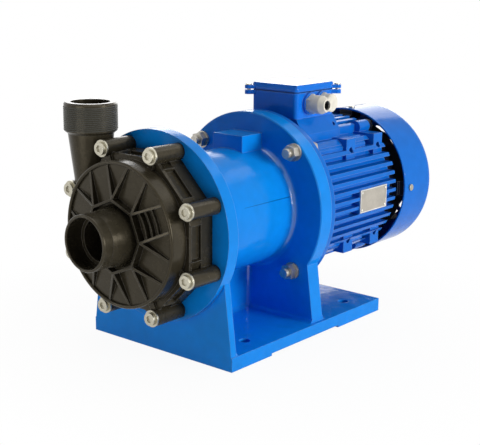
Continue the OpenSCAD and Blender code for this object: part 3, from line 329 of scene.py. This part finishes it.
def make_skin_group():
    """Softened edges and a fine uneven skin as one normal, and a mask of the edges."""
    group, start, end = new_group(
        "Skin",
        dict.fromkeys(("Edge Radius", "Grain Scale", "Grain", "Wave Scale", "Wave"), "float"),
        {"Normal": "vector", "Edge": "float"})
    place = add(group, "TexCoord").outputs["Object"]
    soft = add(group, "Bevel", {"Radius": start.outputs["Edge Radius"]}, samples=6)
    grain = add(group, "TexNoise", {"Vector": place, "Scale": start.outputs["Grain Scale"]}, Detail=3.0)
    wave = add(group, "TexNoise", {"Vector": place, "Scale": start.outputs["Wave Scale"]}, Detail=1.0)
    fine = math_node(group, "MULTIPLY", grain.outputs["Fac"], start.outputs["Grain"])
    broad = math_node(group, "MULTIPLY", wave.outputs["Fac"], start.outputs["Wave"])
    bump = add(group, "Bump", {
        "Height": math_node(group, "ADD", fine, broad), "Normal": soft.outputs["Normal"]}, Distance=MM)
    facing = add(group, "NewGeometry").outputs["Normal"]
    match = add(group, "VectorMath", {0: facing, 1: soft.outputs["Normal"]}, operation="DOT_PRODUCT")
    edge = math_node(group, "SUBTRACT", 1.0, match.outputs["Value"])
    contrast = 4.0
    group.links.new(bump.outputs["Normal"], end.inputs["Normal"])
    group.links.new(math_node(group, "MULTIPLY", edge, contrast), end.inputs["Edge"])


# Finishes
def new_finish(name, **values):
    """A material with a Principled BSDF whose plain values are set on its own sockets."""
    finish = bpy.data.materials.new(name)
    finish.use_nodes = True
    tree = finish.node_tree
    tree.nodes.clear()
    shader = add(tree, "BsdfPrincipled", **values)
    add(tree, "OutputMaterial", {"Surface": shader.outputs["BSDF"]})
    return finish, tree, shader


def use_group(tree, name, **values):
    """Places a shared group in a material with its own values."""
    node = add(tree, "Group", node_tree=bpy.data.node_groups[name])
    for socket, value in values.items():
        node.inputs[socket.replace("_", " ")].default_value = value
    return node


def ranged(tree, mask, low, high):
    """Maps the mottle's mask, which lies about 1, to a range."""
    node = add(tree, "MapRange", {"Value": mask},
               **{"From Min": 0.6, "From Max": 1.4, "To Min": low, "To Max": high})
    return node.outputs["Result"]


def surface(name, colour, edge_wear_and_highlight, roughness, mottle, skin, **values):
    """A finish with mottled colour, paler edges that are partly wear and partly a painted highlight, uneven
    roughness and a skin from the groups' values.
    """
    finish, tree, shader = new_finish(name, **values)
    patches = use_group(tree, "Mottle", Colour=(*colour, 1.0), **mottle)
    normal = use_group(tree, "Skin", **skin)
    # Edges are mixed towards a paler colour: partly wear, partly a painted highlight on the rounded edges
    worn_and_highlit = [c + (1.0 - c) * edge_wear_and_highlight for c in colour]
    edges = add(tree, "MixRGB", {"Fac": normal.outputs["Edge"], "Color1": patches.outputs["Colour"]},
                Color2=(*worn_and_highlit, 1.0))
    tree.links.new(edges.outputs["Color"], shader.inputs["Base Color"])
    tree.links.new(ranged(tree, patches.outputs["Mask"], *roughness), shader.inputs["Roughness"])
    tree.links.new(normal.outputs["Normal"], shader.inputs["Normal"])
    return finish


def enamel(name, colour, edge_round, wave, roughness=(0.12, 0.22), specular=0.1):
    """Glossy enamel on a casting, with a faint orange peel."""
    return surface(
        name, colour, 0.1, roughness,
        {"Slow_Scale": 9.0, "Fast_Scale": 60.0, "Amount": 0.2},
        {"Edge_Radius": edge_round, "Grain_Scale": 420.0, "Grain": 0.04, "Wave_Scale": 60.0, "Wave": wave},
        **{"Specular IOR Level": specular})


def moulded(name, colour, roughness, edge_round, grain, shine=WHITE_SHINE, edge_wear_and_highlight=0.06):
    """Moulded plastic or rubber with a slightly rough skin."""
    return surface(
        name, colour, edge_wear_and_highlight, roughness,
        {"Slow_Scale": 14.0, "Fast_Scale": 120.0, "Amount": 0.4},
        {"Edge_Radius": edge_round, "Grain_Scale": 900.0, "Grain": grain, "Wave_Scale": 90.0, "Wave": 0.12},
        **{"Specular IOR Level": 0.3, "Specular Tint": (*shine, 1.0)})


def casing_plastic(name, colour, edge_round):
    """Black glass-filled plastic with a warm shine."""
    return moulded(name, colour, (0.2, 0.32), edge_round, grain=0.04, shine=WARM_SHINE, edge_wear_and_highlight=0.1)


def metal(name, colour, roughness, grain):
    """Bare or plated metal with small scratches."""
    return surface(
        name, colour, 0.2, roughness,
        {"Slow_Scale": 40.0, "Fast_Scale": 400.0, "Amount": 0.3},
        {"Edge_Radius": 0.4 * MM, "Grain_Scale": 1400.0, "Grain": grain, "Wave_Scale": 120.0, "Wave": 0.05},
        Metallic=1.0)


def darker(colour, share):
    """A colour with a share of its light."""
    return [c * share for c in colour]


def finish_of(name):
    """A finish that has been made."""
    return bpy.data.materials[name]


def dress(finish, *nodes):
    """Gives CAD nodes a finish."""
    for node in nodes:
        NODES[node].data.materials.clear()
        NODES[node].data.materials.append(finish)


# Shaping
def finished_piece(name, bm, finish, body="root"):
    """Makes a piece of a closed bmesh and lets it ride on a body."""
    bmesh.ops.recalc_face_normals(bm, faces=bm.faces)
    mesh = bpy.data.meshes.new(name)
    bm.to_mesh(mesh)
    bm.free()
    mesh.materials.append(finish)
    mesh.shade_smooth()
    mesh.set_sharp_from_angle(angle=SHARP_ANGLE)
    piece = bpy.data.objects.new(name, mesh)
    bpy.context.scene.collection.objects.link(piece)
    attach(piece, body)


def along(axis, place):
    """A matrix that turns local Z to an axis and moves to a place."""
    return Matrix.Translation(Vector(place)) @ Vector(axis).to_track_quat("Z", "Y").to_matrix().to_4x4()


def add_thread(bm, radius, height, pitch, length, place, steps):
    """Adds a helical ridge around a cylinder; its outline is in shares of the pitch."""
    turns = int(length / pitch) - 1
    root, crest = radius - THREAD_SUNK, radius + height
    outline = ((root, 0.1), (crest, 0.38), (crest, 0.62), (root, 0.9))
    corners = [bm.verts.new((r, 0, share * pitch)) for r, share in outline]
    face = bm.faces.new(corners)
    start = len(bm.verts) - len(corners)
    bmesh.ops.spin(
        bm, geom=[face, *face.edges, *corners], cent=(0, 0, 0), axis=(0, 0, 1),
        dvec=(0, 0, pitch / steps), angle=math.tau * turns, steps=turns * steps, use_duplicate=False)
    bm.verts.ensure_lookup_table()
    bmesh.ops.transform(bm, matrix=place, verts=bm.verts[start:])


def fillet_outline(bm, radius, corner, first, second):
    """Draws a hollow fillet's cross-section in a corner whose two faces run along first and second."""
    corner, first, second = Vector(corner), Vector(first), Vector(second)
    start = len(bm.verts)
    tip = bm.verts.new(corner + radius * first)
    bmesh.ops.spin(
        bm, geom=[tip], cent=corner + radius * (first + second), axis=second.cross(first),
        angle=math.pi / 2, steps=FILLET_STEPS)
    backs = (radius * second - FILLET_SUNK * first, -FILLET_SUNK * (first + second),
             radius * first - FILLET_SUNK * second)
    for back in backs:
        bm.verts.new(corner + back)
    return bm.faces.new(list(bm.verts)[start:])


def add_fillet(bm, radius, start, end, first, second):
    """Adds a straight fillet along the corner from start to end."""
    face = fillet_outline(bm, radius, start, first, second)
    moved = bmesh.ops.extrude_face_region(bm, geom=[face], use_keep_orig=True)["geom"]
    corners = [v for v in moved if isinstance(v, bmesh.types.BMVert)]
    bmesh.ops.translate(bm, verts=corners, vec=Vector(end) - Vector(start))


def add_ring_fillet(bm, radius, corner, first, second):
    """Adds a fillet round the pump's axis."""
    face = fillet_outline(bm, radius, corner, first, second)
    edges, corners = face.edges[:], face.verts[:]
    bmesh.ops.delete(bm, geom=[face], context="FACES_ONLY")
    bmesh.ops.spin(
        bm, geom=edges + corners, cent=(0, 0, AXIS_HEIGHT), axis=(0, 1, 0), angle=math.tau,
        steps=FILLET_RING_STEPS, use_merge=True)


def add_bead(bm, radius, bead, station):
    """Adds a round bead about the pump's axis."""
    bmesh.ops.create_circle(
        bm, segments=BEAD_SIDES, radius=bead, matrix=along((0, 1, 0), (radius, 0, 0)))
    bmesh.ops.spin(
        bm, geom=bm.verts[:] + bm.edges[:], cent=(0, 0, 0), axis=(0, 0, 1), angle=math.tau,
        steps=BEAD_STEPS, use_merge=True)
    bmesh.ops.transform(bm, matrix=along((0, 1, 0), (0, station, AXIS_HEIGHT)), verts=bm.verts)


# Steps that dress the pump
class PUMP_OT_finishes(bpy.types.Operator):
    """Paints every CAD node with its finish"""

    bl_idname = "pump.finishes"
    bl_label = "Finishes"

    def enamels(self, colours, rounding):
        """Painted castings and sheet."""
        dress(enamel("bracket_enamel", colours.bracket, rounding, wave=0.5), "bracket")
        dress(enamel("motor_enamel", colours.motor, rounding, wave=0.35), "motor_flange", "motor_frame")
        dress(enamel("box_enamel", colours.box, 2 * rounding, wave=0.35), "terminal_box", "box_lid")
        sheet = enamel(
            "cowl_enamel", colours.motor, 0.8 * MM, wave=0.15, roughness=(0.05, 0.09), specular=0.07)
        dress(sheet, "fan_cowl")
        # Painted shade: the rear shield is painted near black so the gap between the fins and the cowl looks as
        # dark as a shadow
        dress(enamel("dark_primer", PAINTED_SHADE_BLACK, rounding, wave=0.3), "rear_shield")
        dress(enamel("painted_gasket", darker(colours.motor, GASKET_SHADE), 0.3 * MM, wave=0.3), "box_gasket")

    def mouldings(self, colours):
        """Plastic, rubber, ceramic and carbon."""
        dress(casing_plastic("pump_plastic", colours.plastic, 1.2 * MM),
              "front_casing", "rear_casing", "shaft_support", "impeller", "inner_magnet")
        dress(moulded("gland_plastic", colours.glands, (0.38, 0.5), 0.8 * MM, grain=0.05),
              "gland_bodies", "gland_nuts")
        dress(moulded("black_rubber", RUBBER, (0.6, 0.8), 0.5 * MM, grain=0.2),
              "casing_seal", "shaft_seal", "gland_seals")
        dress(moulded("pale_ceramic", CERAMIC, (0.2, 0.35), 0.3 * MM, grain=0.02),
              "pump_shaft", "front_thrust_ring", "rear_thrust_ring", "mouth_ring")
        dress(moulded("carbon", CARBON, (0.35, 0.5), 0.3 * MM, grain=0.05), "guide_bush")
        dress(moulded("fan_plastic", FAN_BLACK, (0.4, 0.6), 0.6 * MM, grain=0.08), "fan")
        dress(moulded("board_plastic", BOARD_BROWN, (0.4, 0.55), 0.6 * MM, grain=0.08), "terminal_block")

    def metals(self, colours):
        """Bare and plated metals."""
        dress(metal("bolt_steel", colours.bolts, (0.22, 0.45), grain=0.06),
              "casing_bolts", "casing_washers", "shield_screws", "cowl_screws", "lid_screws",
              "hub_clamp_screw", "hub_set_screw")
        dress(metal("stud_steel", colours.studs, (0.3, 0.5), grain=0.1),
              "flange_bolts", "flange_washers", "flange_nuts")
        dress(metal("shaft_steel", GROUND_STEEL, (0.16, 0.3), grain=0.04),
              "motor_shaft", "hub_key", "front_bearing_outer", "front_bearing_inner",
              "rear_bearing_outer", "rear_bearing_inner", "bearing_spring", "fan_clip")
        dress(metal("magnet_iron", MAGNET_IRON, (0.3, 0.5), grain=0.1), "drive_hub", "drive_magnets")
        dress(metal("lamination", SHEET_STEEL, (0.35, 0.55), grain=0.15), "stator_core", "rotor_core")
        dress(metal("winding_copper", COPPER, (0.3, 0.5), grain=0.4), "stator_windings")
        dress(metal("cage_aluminium", ALUMINIUM, (0.3, 0.45), grain=0.08), "rotor_cage")
        dress(metal("terminal_brass", BRASS, (0.2, 0.35), grain=0.05), "terminal_studs")
        dress(metal("plate_metal", colours.plate, (0.4, 0.55), grain=0.05), "nameplate")
        dress(metal("border_metal", PALE_METAL, (0.3, 0.45), grain=0.05), "nameplate_rivets")

    def execute(self, context):
        colours = context.scene.pump_colours
        make_mottle_group()
        make_skin_group()
        self.enamels(colours, context.scene.pump_sizes.edge_round)
        self.mouldings(colours)
        self.metals(colours)
        return {"FINISHED"}


class PUMP_OT_threads(bpy.types.Operator):
    """Winds the threads of the discharge pipe and of the flange bolts' ends"""

    bl_idname = "pump.threads"
    bl_label = "Threads"

    def execute(self, context):
        sizes = context.scene.pump_sizes
        port = MOUNTS["discharge_thread"]
        length = port["dims"]["length_mm"] * MM
        axis = Vector(port["axis"])
        start = along(axis, Vector(port["pos_m"]) - axis * length / 2)
        bm = bmesh.new()
        add_thread(bm, port["dims"]["r_mm"] * MM, sizes.thread_height, sizes.thread_pitch, length, start,
                   PIPE_THREAD_STEPS)
        bmesh.ops.holes_fill(bm, edges=bm.edges)
        finished_piece("discharge_ridges", bm, finish_of("pump_plastic"))

        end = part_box("flange_bolts")[0][1]
        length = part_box("flange_nuts")[0][1] - end
        bm = bmesh.new()
        for quarter in range(4):
            turn = math.tau * (quarter + 0.5) / 4
            place = Vector((math.cos(turn), 0, math.sin(turn))) * sizes.stud_circle / 2
            place += Vector((0, end, AXIS_HEIGHT))
            add_thread(bm, sizes.stud_diameter / 2, sizes.stud_height, sizes.stud_pitch, length,
                       along((0, 1, 0), place), STUD_THREAD_STEPS)
        bmesh.ops.holes_fill(bm, edges=bm.edges)
        finished_piece("stud_threads", bm, finish_of("stud_steel"))
        return {"FINISHED"}


class PUMP_OT_mould_line(bpy.types.Operator):
    """Lays the mould line, which tapers towards the front, along the side of the lantern, in a darker enamel that
    paints the shadow along the ridge
    """

    bl_idname = "pump.mould_line"
    bl_label = "Mould line"

    def execute(self, context):
        sizes = context.scene.pump_sizes
        radius = sizes.lantern / 2
        back = sizes.rear_leg_front - sizes.ring_radius / 2
        middle = Vector((radius * math.cos(sizes.seam_angle), back - sizes.seam_length / 2,
                         AXIS_HEIGHT + radius * math.sin(sizes.seam_angle)))
        bm = bmesh.new()
        bmesh.ops.create_cone(
            bm, cap_ends=True, segments=SEAM_SIDES, radius1=sizes.seam_radius / 3,
            radius2=sizes.seam_radius, depth=sizes.seam_length, matrix=along((0, 1, 0), middle))
        rims = [e for e in bm.edges if abs(e.verts[0].co.y - e.verts[1].co.y) < sizes.seam_radius]
        bmesh.ops.bevel(
            bm, geom=rims, offset=sizes.seam_radius / 5, affect="EDGES", segments=3, profile=0.5,
            material=-1)
        # The mould line's enamel is darkened to paint the shadow along the ridge
        shade = darker(context.scene.pump_colours.bracket, SEAM_PAINTED_SHADOW)
        finished_piece("mould_line", bm, enamel("seam_enamel", shade, 0.0, wave=0.3))
        return {"FINISHED"}


class PUMP_OT_fillets(bpy.types.Operator):
    """Rounds the inner corners of the bracket's foot, legs and web, and the lantern's ends"""

    bl_idname = "pump.fillets"
    bl_label = "Fillets"

    def execute(self, context):
        sizes = context.scene.pump_sizes
        colour = context.scene.pump_colours.bracket
        gloss = enamel("fillet_enamel", colour, 0.0, wave=0.3, roughness=(0.14, 0.2), specular=0.9)
        radius = sizes.fillet_radius
        top = sizes.foot_top
        under = AXIS_HEIGHT - sizes.lantern / 2
        front, rear, back = sizes.front_leg_back, sizes.rear_leg_front, sizes.rear_leg_back
        bm = bmesh.new()
        for y, half, side in ((front, sizes.front_leg_half, 1), (rear, sizes.rear_leg_half, -1),
                              (back, sizes.rear_leg_half, 1)):
            add_fillet(bm, radius, (-half, y, top), (half, y, top), (0, side, 0), (0, 0, 1))
        for side in (-1, 1):
            x = side * sizes.web_half
            add_fillet(bm, radius, (x, front, top), (x, rear, top), (side, 0, 0), (0, 0, 1))
            add_fillet(bm, radius, (x, front, top), (x, front, under), (side, 0, 0), (0, 1, 0))
            add_fillet(bm, radius, (x, rear, top), (x, rear, under), (side, 0, 0), (0, -1, 0))
        finished_piece("foot_fillets", bm, gloss)

        bm = bmesh.new()
        for y, side in ((front, 1), (rear, -1)):
            corner = (sizes.lantern / 2, y, AXIS_HEIGHT)
            add_ring_fillet(bm, sizes.ring_radius, corner, (1, 0, 0), (0, side, 0))
        finished_piece("lantern_fillets", bm, gloss)
        return {"FINISHED"}


class PUMP_OT_beads(bpy.types.Operator):
    """Rolls the beads on the fan cowl's front edge and round the pump's ribbed face"""

    bl_idname = "pump.beads"
    bl_label = "Beads"

    def execute(self, context):
        sizes = context.scene.pump_sizes
        low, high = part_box("fan_cowl")
        radius = (high[0] - low[0]) / 2 - sizes.bead_radius / 2
        bm = bmesh.new()
        add_bead(bm, radius, sizes.bead_radius, low[1] + sizes.bead_radius / 2)
        finished_piece("cowl_bead", bm, finish_of("cowl_enamel"))

        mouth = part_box("front_casing")[0][1]
        bm = bmesh.new()
        add_bead(bm, sizes.face_diameter / 2, sizes.face_bead, mouth + sizes.face_setback)
        plastic = casing_plastic("bead_plastic", context.scene.pump_colours.plastic, 0.0)
        finished_piece("face_bead", bm, plastic)
        return {"FINISHED"}


class PUMP_OT_plate_border(bpy.types.Operator):
    """Raises the border of the bare nameplate"""

    bl_idname = "pump.plate_border"
    bl_label = "Nameplate border"

    def execute(self, context):
        sizes = context.scene.pump_sizes
        low, high = (Vector(p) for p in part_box("nameplate"))
        bm = bmesh.new()
        bmesh.ops.create_grid(bm, x_segments=1, y_segments=1, size=0.5)
        bmesh.ops.scale(bm, verts=bm.verts, vec=(high.z - low.z, high.y - low.y, 1))
        bmesh.ops.inset_individual(bm, faces=bm.faces[:], thickness=sizes.border_width)
        inner = min(bm.faces, key=lambda f: f.calc_center_median().length)
        bmesh.ops.delete(bm, geom=[inner], context="FACES")
        bmesh.ops.solidify(bm, geom=bm.faces[:], thickness=2 * sizes.border_height)
        place = Matrix.Translation((high.x, (low.y + high.y) / 2, (low.z + high.z) / 2))
        bmesh.ops.transform(bm, matrix=place @ Matrix.Rotation(math.pi / 2, 4, "Y"), verts=bm.verts)
        middle = sum((v.co.x for v in bm.verts), 0.0) / len(bm.verts)
        bmesh.ops.translate(bm, verts=bm.verts, vec=(high.x - middle, 0, 0))
        finished_piece("nameplate_border", bm, finish_of("border_metal"))
        return {"FINISHED"}


class PUMP_OT_stage(bpy.types.Operator):
    """Sets a pale floor, soft lights, a white world and the camera"""

    bl_idname = "pump.stage"
    bl_label = "Stage"

    def floor(self):
        """A floor that glows white away from the pump and keeps its shadow."""
        bm = bmesh.new()
        bmesh.ops.create_grid(bm, x_segments=1, y_segments=1, size=FLOOR_HALF)
        bmesh.ops.translate(bm, verts=bm.verts, vec=(0, 0, -FLOOR_DROP))
        mesh = bpy.data.meshes.new("floor")
        bm.to_mesh(mesh)
        bm.free()
        pale, tree, shader = new_finish("pale_floor", **{"Base Color": FLOOR_COLOUR, "Roughness": 0.9})
        glow = add(tree, "Emission", Color=(1, 1, 1, 1), Strength=1.0)
        place = add(tree, "TexCoord").outputs["Object"]
        away = add(tree, "VectorMath", {0: place}, operation="LENGTH")
        fade = add(tree, "MapRange", {"Value": away.outputs["Value"]},
                   **{"From Min": SHADOW_NEAR, "From Max": SHADOW_FAR, "To Min": SHADOW_GLOW})
        share = math_node(tree, "MULTIPLY", self.seen_rays(tree), fade.outputs["Result"])
        mix = add(tree, "MixShader", {0: share, 1: shader.outputs["BSDF"], 2: glow.outputs["Emission"]})
        output = next(n for n in tree.nodes if n.type == "OUTPUT_MATERIAL")
        tree.links.new(mix.outputs["Shader"], output.inputs["Surface"])
        mesh.materials.append(pale)
        floor = bpy.data.objects.new("floor", mesh)
        bpy.context.scene.collection.objects.link(floor)

    def seen_rays(self, tree):
        """A mask that is 1 for what the camera, a reflection or a transmission sees."""
        rays = add(tree, "LightPath").outputs
        mirrored = math_node(tree, "MAXIMUM", rays["Is Glossy Ray"], rays["Is Transmission Ray"])
        return math_node(tree, "MAXIMUM", rays["Is Camera Ray"], mirrored)

    def world(self, ambient):
        """A world that is seen white and gives a weak light from all round."""
        world = bpy.data.worlds.new("white_studio")
        world.use_nodes = True
        tree = world.node_tree
        tree.nodes.clear()
        strength = add(tree, "MapRange", {"Value": self.seen_rays(tree)},
                       **{"To Min": ambient, "To Max": 1.0})
        back = add(tree, "Background", {"Strength": strength.outputs["Result"]}, Color=(1, 1, 1, 1))
        add(tree, "OutputWorld", {"Surface": back.outputs["Background"]})
        bpy.context.scene.world = world

    def lamp(self, name, place, target, size, power):
        """A soft lamp that shines from a place at a target."""
        light = bpy.data.lights.new(name, "AREA")
        light.shape = "RECTANGLE"
        light.size, light.size_y = size
        light.energy = power
        lamp = bpy.data.objects.new(name, light)
        lamp.location = place
        lamp.visible_camera = False
        lamp.rotation_euler = (Vector(place) - Vector(target)).to_track_quat("Z", "Y").to_euler()
        bpy.context.scene.collection.objects.link(lamp)

    def camera(self, stage):
        """The camera, turned by its azimuth, elevation and roll."""
        data = bpy.data.cameras.new("camera")
        data.sensor_width = 36.0
        data.lens = stage.lens
        camera = bpy.data.objects.new("camera", data)
        turn, rise, roll = stage.azimuth, stage.elevation, stage.roll
        back = Vector((math.sin(turn) * math.cos(rise), -math.cos(turn) * math.cos(rise), math.sin(rise)))
        level = Vector((math.cos(turn), math.sin(turn), 0))
        upright = back.cross(level)
        right = level * math.cos(roll) + upright * math.sin(roll)
        up = upright * math.cos(roll) - level * math.sin(roll)
        axes = Matrix((right, up, back)).transposed()
        camera.matrix_world = Matrix.Translation(stage.camera_place) @ axes.to_4x4()
        bpy.context.scene.collection.objects.link(camera)
        bpy.context.scene.camera = camera

    def execute(self, context):
        stage = context.scene.pump_stage
        context.scene.view_settings.view_transform = "Standard"
        self.floor()
        self.world(stage.ambient)
        middle = (0, 0, AXIS_HEIGHT)
        for name, (place, size) in LAMPS.items():
            self.lamp(name, place, middle, size, getattr(stage, name + "_power"))
        self.camera(stage)
        return {"FINISHED"}


class PUMP_PT_panel(bpy.types.Panel):
    """Lists the steps that dress the pump"""

    bl_label = "Pump"
    bl_idname = "PUMP_PT_panel"
    bl_space_type = "VIEW_3D"
    bl_region_type = "UI"
    bl_category = "Pump"

    def draw(self, context):
        for step in STEPS:
            self.layout.operator(step.bl_idname)


GROUPS = {"pump_colours": PumpColours, "pump_sizes": PumpSizes, "pump_stage": PumpStage}
STEPS = (PUMP_OT_finishes, PUMP_OT_threads, PUMP_OT_mould_line, PUMP_OT_fillets, PUMP_OT_beads,
         PUMP_OT_plate_border, PUMP_OT_stage)
CLASSES = (*GROUPS.values(), *STEPS, PUMP_PT_panel)


def register():
    for cls in CLASSES:
        bpy.utils.register_class(cls)
    for name, group in GROUPS.items():
        setattr(bpy.types.Scene, name, PointerProperty(type=group))


def unregister():
    for name in GROUPS:
        delattr(bpy.types.Scene, name)
    for cls in reversed(CLASSES):
        bpy.utils.unregister_class(cls)


def main():
    register()
    bpy.ops.pump.finishes()
    bpy.ops.pump.threads()
    bpy.ops.pump.mould_line()
    bpy.ops.pump.fillets()
    bpy.ops.pump.beads()
    bpy.ops.pump.plate_border()
    bpy.ops.pump.stage()


if __name__ == "__main__":
    main()
